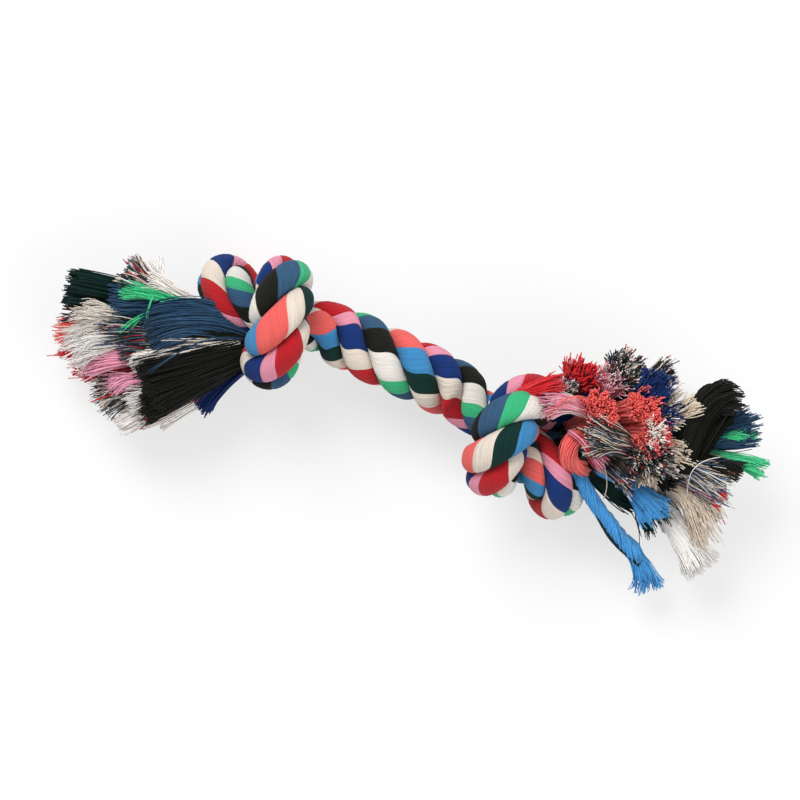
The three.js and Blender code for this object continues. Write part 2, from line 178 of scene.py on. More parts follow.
RIGHT_TUFTS = {
    "right_tuft_red": (
        Lock("red", ((43, 5, 19), (50, 10, 26), (57, 12, 20)), (4, 7), (4, 6), 200, 1.2),
        Lock("red", ((61, 2, 0), (64, 15, 6), (64.5, 18, 17)), (4, 16), (4, 9), 360, 1.0)),
    "right_tuft_pink": (
        Lock("pink_white", ((70, 3, 14), (60, 7, 25), (52, 3, 23)), (4, 10), (3, 7), 190, 1.3),
        Lock("pink_white", ((68, 4, 4), (74, 15, 8), (76, 18, 18)), (4, 13), (4, 9), 260, 1.6),
        Lock("pink_red", ((63, -4, 19), (70, -7, 27), (78, -14, 18)), (1.5, 4), (1.5, 2.5), 34, 1.4),
        Lock("coral", ((74, 4, 18), (62, 15, 28), (52, 0, 24)), (1, 7), (1, 1), 4, 1.2)),
    "right_tuft_royal": (
        Lock("royal", ((58, 0, 0), (66, 8, 7), (71, 14, 10)), (6, 13), (5, 7), 290, 1.2),
        Lock("royal", ((70, 0, -2), (87, 9, 12), (91, 19, 20)), (6, 14), (5, 11), 420, 1.2),
        Lock("royal", ((72, 0, 0), (94, 6, 10), (99.5, 9, 20)), (5, 8), (4, 12), 300, 1.2)),
    "right_tuft_black": (
        Lock("black", ((105, -10, 8), (106, 8, 17), (108, 22, 17), (119, 17, 10)),
             (8, 13), (7, 7), 560, 1.0),
        Lock("black", ((108, -9, 5), (111, 4, 14), (116, 13, 9)), (6, 11), (5, 6), 260, 1.0),
        Lock("black", ((98, -5, 4), (119, -5, 10), (126, -7.5, 8)), (3, 7), (3, 5), 130, 0.9),
        Lock("black", ((84, -10, 4), (98, -14, 6), (103, -15, 14)), (4, 8), (4, 7), 160, 1.2)),
    "right_tuft_coral": (
        Lock("coral", ((64, -1, -4), (73, 5, 12), (72.5, 6, 25)), (6, 14), (6, 11), 520, 0.9),
        Lock("coral", ((66, 0, -4), (87, 8, 12), (87, 10, 25)), (6, 11), (6, 12), 480, 0.9),
        Lock("coral", ((68, -3, -4), (93, 0, 10), (92.5, 0.5, 23)), (6, 15), (6, 12), 480, 0.9),
        Lock("coral", ((74, -3, 8), (61, -2, 21), (61, -18, 19), (72, -16, 3)),
             (6, 6.5), (5, 5), 190, 0.6, 0.2)),
    "right_tuft_beige": (
        Lock("beige", ((74, 2, 2), (92, 8, 10), (98, 11, 18)), (4, 13), (4, 8), 240, 1.6),
        Lock("beige", ((94, 7, 9), (101, 10, 17), (105, 13.5, 19)), (2, 9), (3, 6), 130, 1.4),
        Lock("beige", ((78, -2, 2), (100, -3, 10), (105, -4, 15)), (4, 10), (4, 7), 190, 1.5),
        Lock("beige", ((86, -11, 2), (110, -14, 8), (113, -27, 1), (119, -34, -2)),
             (2, 8), (3, 5), 150, 2.2),
        Lock("beige", ((90, -12, 2), (112, -15, 7), (121, -26, 0)), (2, 8), (3, 4), 90, 2.2),
        Lock("beige", ((80, -8, 2), (92, -13, 8), (96, -16, 14)), (3, 7), (3, 6), 110, 1.5),
        Lock("beige", ((76, -11, 12), (81, -18, 13), (80, -26, 1)), (0.5, 0.5), (0.5, 0.5), 1, 0.3)),
    "right_tuft_white": (
        Lock("white", ((94, -20, -4), (110, -31, -2), (121, -43, -6)), (5, 14), (4, 7), 600, 0.9),
        Lock("white", ((84, -6, 4), (98, -9, 8), (102, -12, 15)), (3, 5), (3, 5), 90, 1.4),
        Lock("cream", ((86, -1, 4), (92, 0, 14), (92.5, 1, 25)), (2, 8), (2, 7), 200, 1.1),
        Lock("white", ((109, -19, 8), (105, -6, 18), (117, -3, 14)), (0.5, 0.5), (0.5, 0.5), 1, 0.4)),
    "right_tuft_sky": (
        Lock("sky", ((66, -14, 3), (76, -27, 2), (86.3, -35.5, -4), (98, -45, -10)),
             (5, 5.6), (5, 6), 260, 0.3, 1.6),
        Lock("sky", ((94, -41, -8), (100, -47, -10), (103, -55, -12)), (3.5, 11), (3, 4), 180, 1.6),
        Lock("sky", ((70, -12, 0), (80, -17, 7), (90, -18, 5)), (4, 5), (4, 5), 140, 0.5, 0.4),
        Lock("sky", ((84, -16, 0), (94, -22, 6), (100, -27, 7)), (5, 11), (4, 9), 360, 1.2)),
    "right_tuft_forest": (
        Lock("forest", ((68, -9, -2), (82, -20, -2), (93, -23.5, -3)), (11, 9), (6, 8), 330, 1.1),
        Lock("forest", ((80, -14, -3), (95, -22, -2), (102.5, -30.5, -3)), (6, 13), (5, 8), 260, 2.0),
        Lock("forest", ((78, -29, 0), (82, -37, -2), (89, -42, -6), (98, -46, -8)),
             (1, 1.2), (1, 1), 10, 0.4, 1)),
    "right_tuft_denim": (
        Lock("denim", ((90, -2, 0), (114, 2, 5), (128, 10, 4)), (6, 15), (5, 9), 440, 1.3),
        Lock("denim", ((64, -4, -8), (90, -8, -17), (116, -8, -20)), (7, 14), (6, 11), 260, 1.0)),
    "right_tuft_green": (
        Lock("green", ((114, 2, 5), (121, 5, 9), (126.5, 7.5, 8)), (1, 5), (1, 3), 32, 1.6),
        Lock("green", ((112, -2, 1), (125, -3.5, 5), (133.5, -4.5, 4)), (3, 7), (3, 5), 130, 1.0),
        Lock("green", ((64, 0, -8), (92, 4, -17), (118, 4, -19)), (7, 13), (6, 11), 260, 1.0)),
    "right_tuft_cream": (
        Lock("cream", ((64, -6, -8), (88, -16, -16), (110, -27, -18)), (7, 13), (6, 11), 260, 1.0),
        Lock("cream", ((62, 4, -7), (80, 14, -15), (100, 18, -18)), (7, 14), (6, 11), 260, 1.0)),
    "right_tuft_mixed_1": (
        Lock("speckled_pale", ((60, 1, 2), (60, 10, 9), (59.5, 12, 17)), (3, 9), (3, 7), 210, 1.1),
        Lock("speckled", ((64, 4, -2), (79, 20, 8), (79.5, 21.5, 18)), (4, 16), (4, 13), 680, 1.0),
        Lock("speckled", ((70, 6, -2), (91, 19, 6), (94, 23, 13)), (3, 9), (3, 8), 240, 1.3)),
    "right_tuft_mixed_2": (
        Lock("speckled", ((88, -6, 6), (80, -4, 22), (70, -3, 22)), (6, 15), (5, 10), 600, 1.9),
        Lock("speckled", ((68, -5, -4), (95, -7, 9), (94, -8, 21)), (6, 16), (6, 13), 640, 1.4),
        Lock("speckled_dark", ((62, -6, -4), (84, -12, 10), (90, -14, 15)), (6, 15), (5, 10), 520, 1.5),
        Lock("black", ((60, -8, -4), (68, -13, 2), (76, -15, 4)), (6, 8), (6, 7), 170, 0.9)),
    "right_tuft_mixed_3": (
        Lock("streaked", ((88, -7, 2), (107, -9, 8), (122.5, -13, 5)), (4, 17), (4, 7), 600, 2.0),
        Lock("red", ((112, -13, 4), (117, -16, 6), (122, -18, 5)), (2, 6), (2, 4), 60, 1.2),
        Lock("speckled_dark", ((104, -14, 0), (116, -18, 2), (121, -23, -2)), (2, 6), (2, 4), 70, 1.6)),
}

# The colours of each mixture, which take equal shares of its yarns and may come again
MIXTURES = {
    "speckled": ("black", "denim", "white", "black", "beige", "forest", "black", "cream",
                 "black", "white", "black", "denim", "cream", "red"),
    "speckled_pale": ("white", "denim", "cream", "black", "white", "beige", "denim", "pink",
                      "black"),
    "speckled_dark": ("black", "denim", "black", "beige", "forest", "black", "white", "black",
                      "royal", "black", "denim", "red"),
    "streaked": ("white", "denim", "cream", "black", "white", "royal", "beige", "denim",
                 "cream", "white", "black", "sky", "beige", "red"),
    "pale": ("white", "cream", "white"),
    "pink_white": ("pink", "pink", "white", "pink"),
    "pink_red": ("pink", "red", "pink", "coral"),
}

# How finely yarns are drawn: steps along each and points round it
YARN_STEPS = 12
YARN_SIDES = 3
# A lock opens by this power of the share of its length
OPENING_POWER = 1.3
# The angle from one yarn to the next, which fills a round section evenly, and how far the
# yarns lie off those places as a share of the section's radius
GOLDEN_ANGLE = 2.39996
SPOT_SPREAD = 0.07
# How many yarns make a wisp on average, and the share of their way to the wisp's middle
# that they have gone at the tip
WISP_YARNS = 9
GATHER = 0.27
# How far wisps and single yarns bend away and wave, as shares of their lock's stray, and how
# far each wave runs on from root to tip in radians
WISP_BEND = 0.8
OWN_BEND = 0.6
WISP_WAVE = {"size": 0.55, "run": 6.5}
OWN_WAVE = {"size": 0.2, "run": 9}
# How unevenly they are cut for each millimetre of stray, up to the limit: the most that a
# wisp loses as a share of its length, and the cube root of the most that one yarn loses
WISP_CUT = 0.06
OWN_CUT = 0.45
CUT_STRAY_LIMIT = 1.5
# A yarn has its usual thickness at a stray of 1 mm and is finer where it is slack. In a lock
# of few yarns it is finer again. The range is that of single yarns.
FIRM = 0.7
SLACK = 0.45
FEW_YARNS = 8
FEW_YARNS_SHARE = 0.6
YARN_RANGE = (0.75, 1.25)
# A lock of many yarns has a dense core: its share of the lock's section, its steps from the
# root and the points round it
MANY_YARNS = 150
CORE_SHARE = 0.8
CORE_STEPS = 9
CORE_SIDES = 14
# Seeds of each tassel's yarns, one for each of its tufts from here on
LEFT_SEED = 100
RIGHT_SEED = 200

# The map of every piece, which lies inside the unit square: across the yarn and along it.
# In a tassel a yarn takes one of the strips that the map is cut into.
YARN_MAP = "OFBake"
STRIPS = 64
# On the map, the two ends of a tube are small rounds: their reach across as a share of the
# tube's own, their places along and their reach along
END_ROUNDS = {"across": 0.4, "places": (0.02, 0.98), "along": 0.01}

# Cotton's gloss, and the roughness of its sheen
COTTON_GLOSS = 0.15
SHEEN_ROUGHNESS = 0.6
# A finish holds the factors that make the darkest and lightest tone out of a yarn's colour,
# and its sheen. Bright colours are those with a channel above this value.
Finish = namedtuple("Finish", "dark light sheen")
BRIGHT = 0.4
LAID_BRIGHT = Finish(0.62, 1.22, 0.08)
LAID_DARK = Finish(0.5, 1.7, 0.02)
# Bright cut yarn's factors are raised above those of laid yarn as painted light, which makes up for the
# shade that falls between the yarns of a tassel; the spread from dark to light is the yarn's own uneven
# tone.
CUT_BRIGHT_TONE_AND_PAINTED_LIGHT = Finish(0.95, 1.7, 0.15)
CUT_DARK = Finish(0.6, 1.3, 0.04)
CUT_MIXED = Finish(0.75, 1.18, 0.15)
# Cells of the patterns on the yarn, across the map and along it
WANDER_CELLS = (180, 28)
FIBRE_CELLS = (150, 18)
PATCH_CELLS = (60, 30)
CUT_FIBRE_CELLS = (3 * STRIPS, 45)
# The fibres of laid yarn are finer than other noise: their detail and roughness
FIBRE_DETAIL = 4.0
FIBRE_ROUGHNESS = 0.7
# Laid yarn: lines round a strand and how far they wander in radians, and what each pattern
# adds to the tone and to the relief
LINES_ROUND = 44
LINE_WANDER = 5.0
LAID_TONE = {"fibres": 0.9, "patches": 0.3, "lines": 0.05, "loss": 0.12}
LAID_HEIGHT = {"lines": 0.35, "fibres": 0.65}
# Cut yarn: what a yarn's own tone and its fibres add to the tone
CUT_TONE = {"own": 0.5, "fibres": 0.5}
# The depth of the relief in metres, and the roughness: the least, and what fibres add
LAID_RELIEF = 0.0002
CUT_RELIEF = 0.0001
LAID_ROUGHNESS = (0.82, 0.14)
CUT_ROUGHNESS = (0.86, 0.1)

# The camera looks straight down at the table: what it aims at, its height and its turn
CAMERA_AIM = (-0.00258, 0.00157)
CAMERA_HEIGHT = 1.0939
CAMERA_TURN = 10.5
CAMERA_LENS = 135
SENSOR_WIDTH = 36
# Each lamp has its place, its size and its power
LAMPS = (
    ("key_lamp", (-0.5, 0.7, 1.1), 0.8, 15.0),
    ("fill_lamp", (0.9, -0.4, 0.9), 0.9, 6.0),
)
WORLD_STRENGTH = 0.6
# The floor: its size and grey, and the share of pure white that these rays see on it
FLOOR_SIZE = 6
FLOOR_GREY = 0.78
FLOOR_WHITE_SHARE = 0.6
SEEN_RAYS = ("Is Camera Ray", "Is Glossy Ray", "Is Transmission Ray")


def yarn_colour(label, colour):
    """A colour property for one yarn."""
    return bpy.props.FloatVectorProperty(
        name=label, description=f"Colour of the {label.lower()} cotton yarn",
        subtype="COLOR", size=3, min=0, max=1, default=colour)


class RopeToyColours(bpy.types.PropertyGroup):
    """The yarns' colours."""

    cream: yarn_colour("Cream", (0.80, 0.70, 0.60))
    white: yarn_colour("White", (0.84, 0.79, 0.725))
    beige: yarn_colour("Beige", (0.62, 0.51, 0.41))
    coral: yarn_colour("Coral", (0.90, 0.125, 0.11))
    red: yarn_colour("Red", (0.50, 0.007, 0.014))
    pink: yarn_colour("Pink", (0.80, 0.30, 0.41))
    sky: yarn_colour("Sky", (0.045, 0.25, 0.53))
    denim: yarn_colour("Denim", (0.030, 0.083, 0.16))
    royal: yarn_colour("Royal", (0.006, 0.028, 0.142))
    forest: yarn_colour("Forest", (0.002, 0.024, 0.020))
    green: yarn_colour("Green", (0.04, 0.46, 0.20))
    black: yarn_colour("Black", (0.007, 0.008, 0.005))


class RopeToySizes(bpy.types.PropertyGroup):
    """The rope's sizes and lay."""

    rope_diameter: bpy.props.FloatProperty(
        name="Rope diameter", description="Diameter of the rope where it lies free",
        default=0.022, min=0.01, max=0.04, unit="LENGTH")
    lay_length: bpy.props.FloatProperty(
        name="Lay length", description="Length in which a strand winds once round the rope",
        default=0.0385, min=0.02, max=0.08, unit="LENGTH")
    bundle_turns: bpy.props.FloatProperty(
        name="Bundle turns", description="Turns of a strand's bundles in one lay length",
        default=2.19, min=0, max=5)
    knot_size: bpy.props.FloatProperty(
        name="Knot size", description="Size that the knots' control points scale",
        default=0.0215, min=0.01, max=0.04, unit="LENGTH")
    fullness: bpy.props.FloatProperty(
        name="Fullness", description="How much fuller the yarn is than the plain strands",
        default=1.04, min=0.9, max=1.1)
    yarn_diameter: bpy.props.FloatProperty(
        name="Yarn diameter", description="Diameter of one yarn in the tassels",
        default=0.0005, min=0.0002, max=0.002, unit="LENGTH")


# Materials


class Value:
    """A shader value that ordinary arithmetic works on."""

    def __init__(self, shader, socket):
        self.shader = shader
        self.socket = socket

    def _math(self, operation, *values):
        return self.shader.node("ShaderNodeMath", {"operation": operation}, values)

    def __add__(self, other):
        return self._math("ADD", self, other)

    def __radd__(self, other):
        return self._math("ADD", other, self)

    def __sub__(self, other):
        return self._math("SUBTRACT", self, other)

    def __mul__(self, other):
        return self._math("MULTIPLY", self, other)

    def __rmul__(self, other):
        return self._math("MULTIPLY", other, self)

    def __truediv__(self, other):
        return self._math("DIVIDE", self, other)

    def sine(self):
        return self._math("SINE", self)

    def floor(self):
        return self._math("FLOOR", self)

    def clamped(self):
        return self.shader.node("ShaderNodeClamp", {}, (self,))


class Shader:
    """A material under construction."""

    def __init__(self, name):
        self.material = bpy.data.materials.new(name)
        self.material.use_nodes = True
        self.tree = self.material.node_tree
        self.principled = self.tree.nodes["Principled BSDF"]

    def node(self, kind, settings=None, values=(), output=0):
        """Adds a node: its settings, then the values or links of its sockets."""
        node = self.tree.nodes.new(kind)
        for key, value in (settings or {}).items():
            if key == "stops":
                self._stops(node.color_ramp, value)
            else:
                setattr(node, key, value)
        items = values.items() if isinstance(values, dict) else enumerate(values)
        for key, value in items:
            self.link(node.inputs[key], value)
        return Value(self, node.outputs[output])

    @staticmethod
    def _stops(ramp, stops):
        while len(ramp.elements) < len(stops):
            ramp.elements.new(0.5)
        for element, (position, colour) in zip(ramp.elements, stops):
            element.position = position
            element.color = (*colour, 1)

    def link(self, socket, value):
        """Links a value to a socket, or sets a plain number or colour on it."""
        if isinstance(value, Value):
            self.tree.links.new(value.socket, socket)
        elif socket.type == "RGBA" and len(value) == 3:
            socket.default_value = (*value, 1)
        else:
            socket.default_value = value

    def yarn_map(self):
        """The piece's own map, and the place across the yarn on it."""
        uv = self.node("ShaderNodeUVMap", {"uv_map": YARN_MAP})
        across = self.node("ShaderNodeSeparateXYZ", {}, (uv,))
        return uv, across

    def noise(self, vector, cells, detail=2.0, roughness=0.55):
        """Noise with so many cells across the map and along it."""
        stretched = self.node(
            "ShaderNodeMapping", {}, {"Vector": vector, "Scale": (*cells, 1)})
        return self.node(
            "ShaderNodeTexNoise", {"noise_dimensions": "2D"},
            {"Vector": stretched, "Scale": 1.0, "Detail": detail, "Roughness": roughness})

    def mix(self, factor, a, b, blend="MIX"):
        """Two colours mixed by a factor.

        A mix node's sockets for colours are its inputs 6 and 7 and its output 2.
        """
        node = self.tree.nodes.new("ShaderNodeMix")
        node.data_type = "RGBA"
        node.blend_type = blend
        self.link(node.inputs[0], factor)
        self.link(node.inputs[6], a)
        self.link(node.inputs[7], b)
        return Value(self, node.outputs[2])

    def finish(self, colour, roughness, height, relief, sheen):
        """Cotton with a colour, a roughness and a relief, which the shader feeds."""
        sockets = self.principled.inputs
        self.link(sockets["Base Color"], colour)
        self.link(sockets["Roughness"], roughness)
        sockets["Specular IOR Level"].default_value = COTTON_GLOSS
        sockets["Sheen Weight"].default_value = sheen
        sockets["Sheen Roughness"].default_value = SHEEN_ROUGHNESS
        bump = self.node(
            "ShaderNodeBump", {}, {"Strength": 1.0, "Distance": relief, "Height": height})
        self.link(sockets["Normal"], bump)
        return self.material


def shade(colour, factor):
    """A colour made lighter or darker."""
    return tuple(min(1.0, channel * factor) for channel in colour)


def bundle_material(name, colour):
    """Tightly laid yarns of one colour, drawn by their round and their length."""
    shader = Shader(f"laid_yarn_{name}")
    uv, across = shader.yarn_map()
    wander = shader.noise(uv, WANDER_CELLS)
    lines = (across * LINES_ROUND * 2 * math.pi + wander * LINE_WANDER).sine()
    fibres = shader.noise(uv, FIBRE_CELLS, FIBRE_DETAIL, FIBRE_ROUGHNESS)
    patches = shader.noise(uv, PATCH_CELLS)
    tone = (fibres * LAID_TONE["fibres"] + patches * LAID_TONE["patches"]
            + lines * LAID_TONE["lines"] - LAID_TONE["loss"]).clamped()
    look = LAID_BRIGHT if max(colour) > BRIGHT else LAID_DARK
    base = shader.mix(tone, shade(colour, look.dark), shade(colour, look.light))
    height = lines * LAID_HEIGHT["lines"] + fibres * LAID_HEIGHT["fibres"]
    least, added = LAID_ROUGHNESS
    return shader.finish(base, least + added * fibres, height, LAID_RELIEF, look.sheen)


def cut_yarn_material(name, palette):
    """Loose yarns: each takes one of the palette's colours, and its own tone."""
    shader = Shader(f"cut_yarn_{name}")
    uv, across = shader.yarn_map()
    strip = (across * STRIPS).floor()
    if len(palette) == 1:
        colour = palette[0]
        # A bright colour's cut yarn is lightened with painted light, against the shade that falls
        # between the yarns.
        look = CUT_BRIGHT_TONE_AND_PAINTED_LIGHT if max(colour) > BRIGHT else CUT_DARK
        dark = shade(colour, look.dark)
        light = shade(colour, look.light)
    else:
        look = CUT_MIXED
        stops = [(k / len(palette), colour) for k, colour in enumerate(palette)]
        picked = shader.node("ShaderNodeValToRGB", {"stops": stops}, (strip / STRIPS,))
        picked.socket.node.color_ramp.interpolation = "CONSTANT"
        dark = shader.mix(1.0, picked, (look.dark,) * 3, "MULTIPLY")
        light = shader.mix(1.0, picked, (look.light,) * 3, "MULTIPLY")
    own = shader.node("ShaderNodeTexWhiteNoise", {"noise_dimensions": "1D"}, {"W": strip})
    fibres = shader.noise(uv, CUT_FIBRE_CELLS)
    tone = (own * CUT_TONE["own"] + fibres * CUT_TONE["fibres"]).clamped()
    base = shader.mix(tone, dark, light)
    least, added = CUT_ROUGHNESS
    return shader.finish(base, least + added * fibres, fibres, CUT_RELIEF, look.sheen)


# Meshes


def mesh_piece(name, nodes, points, faces, uvs, materials, picks):
    """A finished piece of the toy that stands for the named solids."""
    mesh = bpy.data.meshes.new(name)
    mesh.from_pydata(points, [], faces)
    layer = mesh.uv_layers.new(name=YARN_MAP)
    layer.data.foreach_set("uv", np.asarray(uvs, dtype=np.float32).ravel())
    for material in materials:
        mesh.materials.append(material)
    mesh.polygons.foreach_set("material_index", np.asarray(picks, dtype=np.int32))
    mesh.polygons.foreach_set("use_smooth", np.ones(len(faces), dtype=bool))
    mesh.update()
    piece = bpy.data.objects.new(name, mesh)
    bpy.context.collection.objects.link(piece)
    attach(piece, BODY)
    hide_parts(*nodes)
    return piece


def normalised(vectors):
    """The vectors at a length of one."""
    return vectors / np.linalg.norm(vectors, axis=-1, keepdims=True)


def knot_controls(knot, size):
    """Control points, radii and stages of a knot, from its tail to the rope.

    A row holds a control's place, radius and stage.
    """
    place = np.array(Matrix.Rotation(math.radians(knot["turn"]), 3, "Z")
                     @ Matrix.Rotation(math.radians(knot["roll"]), 3, "X")
                     @ Matrix.Rotation(math.radians(knot["tilt"]), 3, "Y"))
    rows = []
    for side in (1, -1):
        shares = KNOT_POINT_SHARES * (side, 1, side)
        points = shares @ place.T * size + (knot["x"], knot["y"], 0)
        stages = BELT_STAGES if side > 0 else LOBE_STAGES
        half = [(*point, radius * size, stage)
                for point, radius, stage in zip(points, KNOT_RADIUS_SHARES, stages)]
        # Both halves start at the same control, which is taken once
        rows += half[:0:-1] if side > 0 else half
    return np.array(rows)


def free_controls(points, radius, stage):
    """Control points outside the knots, with their radii and their stage."""
    return np.array([(x, y, z, share * radius, stage) for x, y, z, share in points])


def rope_course(sizes, step):
    """The rope's middle line in equal steps.

    Gives its points, radii, stages, lengths so far, tangents and side directions.
    """
    radius = sizes.rope_diameter / 2
    left = knot_controls(LEFT_KNOT, sizes.knot_size)
    right = knot_controls(RIGHT_KNOT, sizes.knot_size)[::-1].copy()
    right[:, 4] = LAST_STAGE - right[:, 4]
    controls = np.vstack((
        free_controls(LEFT_TAIL, radius, 0), left,
        free_controls(MIDDLE, radius, MAIN_STAGE),
        right, free_controls(RIGHT_TAIL, radius, LAST_STAGE)))
    # With its ends doubled, the line reaches nearly to its first and last controls
    controls = np.vstack((controls[:1], controls, controls[-1:]))

    # Each span of the line is a blend of four controls, as in a cubic B-spline
    t = np.arange(SPAN_STEPS) / SPAN_STEPS
    weights = np.array((
        (1 - t) ** 3,
        3 * t ** 3 - 6 * t ** 2 + 4,
        -3 * t ** 3 + 3 * t ** 2 + 3 * t + 1,
        t ** 3)).T / 6
    fine = np.vstack([weights @ controls[k:k + 4] for k in range(len(controls) - 3)])
    spans = np.linalg.norm(np.diff(fine[:, :3], axis=0), axis=1)
    along = np.concatenate(((0,), np.cumsum(spans)))
    lengths = np.linspace(0, along[-1], math.ceil(along[-1] / step) + 1)
    rows = np.array([np.interp(lengths, along, column) for column in fine.T]).T
    points, radii, stages = rows[:, :3], rows[:, 3], rows[:, 4]
    tangents = normalised(np.gradient(points, axis=0))
    radii = radii + SWELL * np.maximum(SWELL_LIMIT * radius - radii, 0)
    return points, radii, stages, lengths, tangents, carried_sides(tangents)


def carried_sides(tangents):
    """Side directions along a line, carried without twist."""
    side = np.array((0.0, 1.0, 0.0))
    sides = []
    for k, tangent in enumerate(tangents):
        if k:
            before = tangents[k - 1]
            axis = np.cross(before, tangent)
            turned = np.cross(axis, side)
            side = side + turned + np.cross(axis, turned) / (1 + before @ tangent)
        side = side - tangent * (side @ tangent)
        side = side / np.linalg.norm(side)
        sides.append(side)
    return np.array(sides)


def tube_faces(rings, sides):
    """Quads of an open tube, and its two end faces."""
    ring = np.arange(rings - 1)[:, None] * sides
    k = np.arange(sides)[None, :]
    after = (k + 1) % sides
    quads = np.stack((ring + k, ring + after, ring + sides + after, ring + sides + k), axis=-1)
    last = (rings - 1) * sides
    ends = [list(range(sides - 1, -1, -1)), list(range(last, last + sides))]
    return quads.reshape(-1, 4), ends


def tube_map(across, along):
    """The map of closed tubes: all their walls, then their first ends and their last ends.

    Each row of across holds the places of one tube's edges across the map, and along holds
    those of the rings, which all the tubes share.
    """
    count, sides, steps = len(across), across.shape[1] - 1, len(along)
    us = np.stack((across[:, :-1], across[:, 1:], across[:, 1:], across[:, :-1]), axis=-1)
    vs = np.stack((along[:-1], along[:-1], along[1:], along[1:]), axis=-1)
    walls = np.empty((count, steps - 1, sides, 4, 2))
    walls[..., 0] = us[:, None]
    walls[..., 1] = vs[None, :, None]
    turn = 2 * math.pi * np.arange(sides) / sides
    ends = np.empty((2, count, sides, 2))
    middle = across.mean(axis=1, keepdims=True)
    reach = (across[:, -1:] - across[:, :1]) * END_ROUNDS["across"]
    places = np.array(END_ROUNDS["places"])[:, None, None]
    ends[..., 0] = middle + reach * np.cos(turn)
    ends[..., 1] = places + END_ROUNDS["along"] * np.sin(turn)
    return np.concatenate((walls.reshape(-1, 2), ends.reshape(-1, 2)))


def strand_piece(context, index, name, bundles):
    """One strand of the rope: four bundles of laid yarn under one skin."""
    sizes = context.scene.rope_toy_sizes
    points, radii, stages, along, tangents, sides = rope_course(sizes, STRAND_STEP)
    normals = np.cross(tangents, sides)
    lay_start = np.radians(np.interp(stages, range(LAST_STAGE + 1), LAY_STARTS))
    angle = lay_start - index * THIRD + 2 * math.pi * along / sizes.lay_length
    out = np.cos(angle)[:, None] * sides + np.sin(angle)[:, None] * normals
    across = np.cross(tangents, out)

    # Rows of points follow the bundles, which turn the other way to the strand
    round_share = np.arange(STRAND_SIDES) / STRAND_SIDES
    twist = (sizes.bundle_turns * along / sizes.lay_length
             + np.interp(stages, range(LAST_STAGE + 1), BUNDLE_STARTS[index]))
    section = 2 * math.pi * (round_share[None, :] - twist[:, None])
    edges = np.cumsum([0] + [share for _, share in bundles])
    to_edge = np.min(np.abs(round_share[:, None] - edges[None, :]), axis=1)
    groove = np.exp(-(to_edge / GROOVE["width"]) ** 2)
    ridges = np.cos(2 * math.pi * round_share * RIDGES["count"])
    relief = 1 - GROOVE["depth"] * groove[None, :] + RIDGES["height"] * ridges[None, :]

    # The section is cut off where the other two strands begin, and the floor flattens it
    size = 2 * radii[:, None] * sizes.fullness
    x = size * (STRAND_SHARES["middle"] + STRAND_SHARES["deep"] * np.cos(section) * relief)
    y = size * STRAND_SHARES["wide"] * np.sin(section) * relief
    limit = np.maximum(x * math.tan(THIRD / 2), 0)
    y = np.clip(y, -limit, limit)
    skin = points[:, None] + x[..., None] * out[:, None] + y[..., None] * across[:, None] + SHIFT
    skin[..., 2] = np.maximum(skin[..., 2], 0)

    quads, ends = tube_faces(len(points), STRAND_SIDES)
    at = np.arange(STRAND_SIDES)
    pick = np.searchsorted(edges, (at + 0.5) / STRAND_SIDES) - 1
    uvs = tube_map(np.arange(STRAND_SIDES + 1)[None] / STRAND_SIDES, along / along[-1])
    picks = np.concatenate((np.tile(pick, len(points) - 1), (0, 0)))
    materials = [laid(context, colour) for colour, _ in bundles]
    return mesh_piece(f"{name}_yarn", [name], skin.reshape(-1, 3).tolist(),
                      quads.tolist() + ends, uvs, materials, picks)


# Materials that are made already
_made = {}


def laid(context, colour):
    """The laid yarn material of a colour, made once."""
    key = f"laid_{colour}"
    if key not in _made:
        _made[key] = bundle_material(colour, tuple(getattr(context.scene.rope_toy_colours, colour)))
    return _made[key]


def cut(context, palette):
    """The cut yarn material of a colour or of a mixture, made once."""
    key = f"cut_{palette}"
    if key not in _made:
        names = MIXTURES.get(palette, (palette,))
        colours = [tuple(getattr(context.scene.rope_toy_colours, name)) for name in names]
        _made[key] = cut_yarn_material(palette, colours)
    return _made[key]


def bezier(points, count):
    """A curve drawn by control points, in even steps of its parameter."""
    t = np.linspace(0, 1, count)[:, None]
    degree = len(points) - 1
    return sum(math.comb(degree, k) * (1 - t) ** (degree - k) * t ** k * points[k]
               for k in range(degree + 1))


def opened(ends, share):
    """Half a lock's width or height in metres, which opens from its root to its tip."""
    root, tip = ends
    return (root + (tip - root) * share ** OPENING_POWER) * MM / 2


